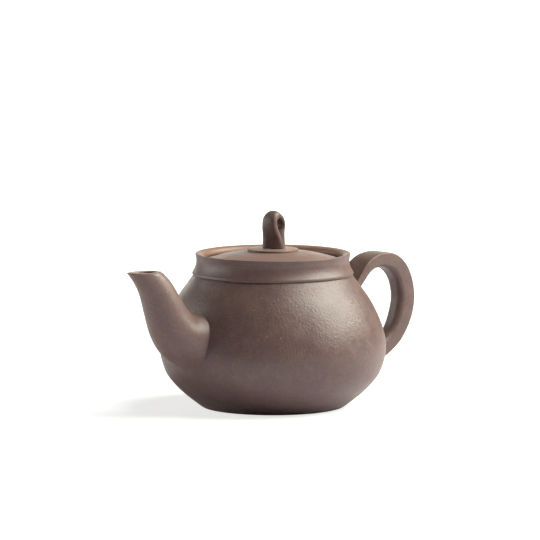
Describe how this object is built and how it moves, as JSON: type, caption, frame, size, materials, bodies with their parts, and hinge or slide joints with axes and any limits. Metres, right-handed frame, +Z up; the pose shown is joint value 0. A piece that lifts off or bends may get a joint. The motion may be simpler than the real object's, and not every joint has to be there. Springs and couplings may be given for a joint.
{
  "type": "clay teapot",
  "caption": "Small round-bodied unglazed clay teapot with a curved spout, an ear-shaped strap handle and a recessed lift-off lid with a loop knob.",
  "frame": {"origin": "centre of the flat foot, on the surface that the pot stands on", "axes": "+Z up along the pot's turning axis, -X towards the spout, +X towards the handle, so the XZ plane halves the pot"},
  "size_m": [0.154, 0.0958, 0.0829],
  "materials": {
    "clay_body": "unglazed fired stoneware clay, fine sandy grain, burnished to a soft sheen",
    "clay_rim": "unglazed fired stoneware clay, slightly warmer where the edge is rubbed",
    "clay_lid": "unglazed fired stoneware clay, fine sandy grain, burnished to a soft sheen"
  },
  "bodies": {
    "pot": {"base_disc": "clay_body", "body_wall": "clay_body", "shoulder_ring": "clay_body", "neck_collar": "clay_body", "rim_lip": "clay_rim", "lid_seat_ring": "clay_rim", "spout": "clay_body", "strainer": "clay_body", "handle": "clay_body"},
    "lid": {"lid_plate": "clay_lid", "lid_flange": "clay_lid", "knob_seat": "clay_lid", "knob": "clay_lid"}
  },
  "joints": [
    {"name": "lid_lift", "type": "slide", "parent": "pot", "child": "lid", "axis": [0, 0, 1], "range_m": [0, 0.05]}
  ]
}
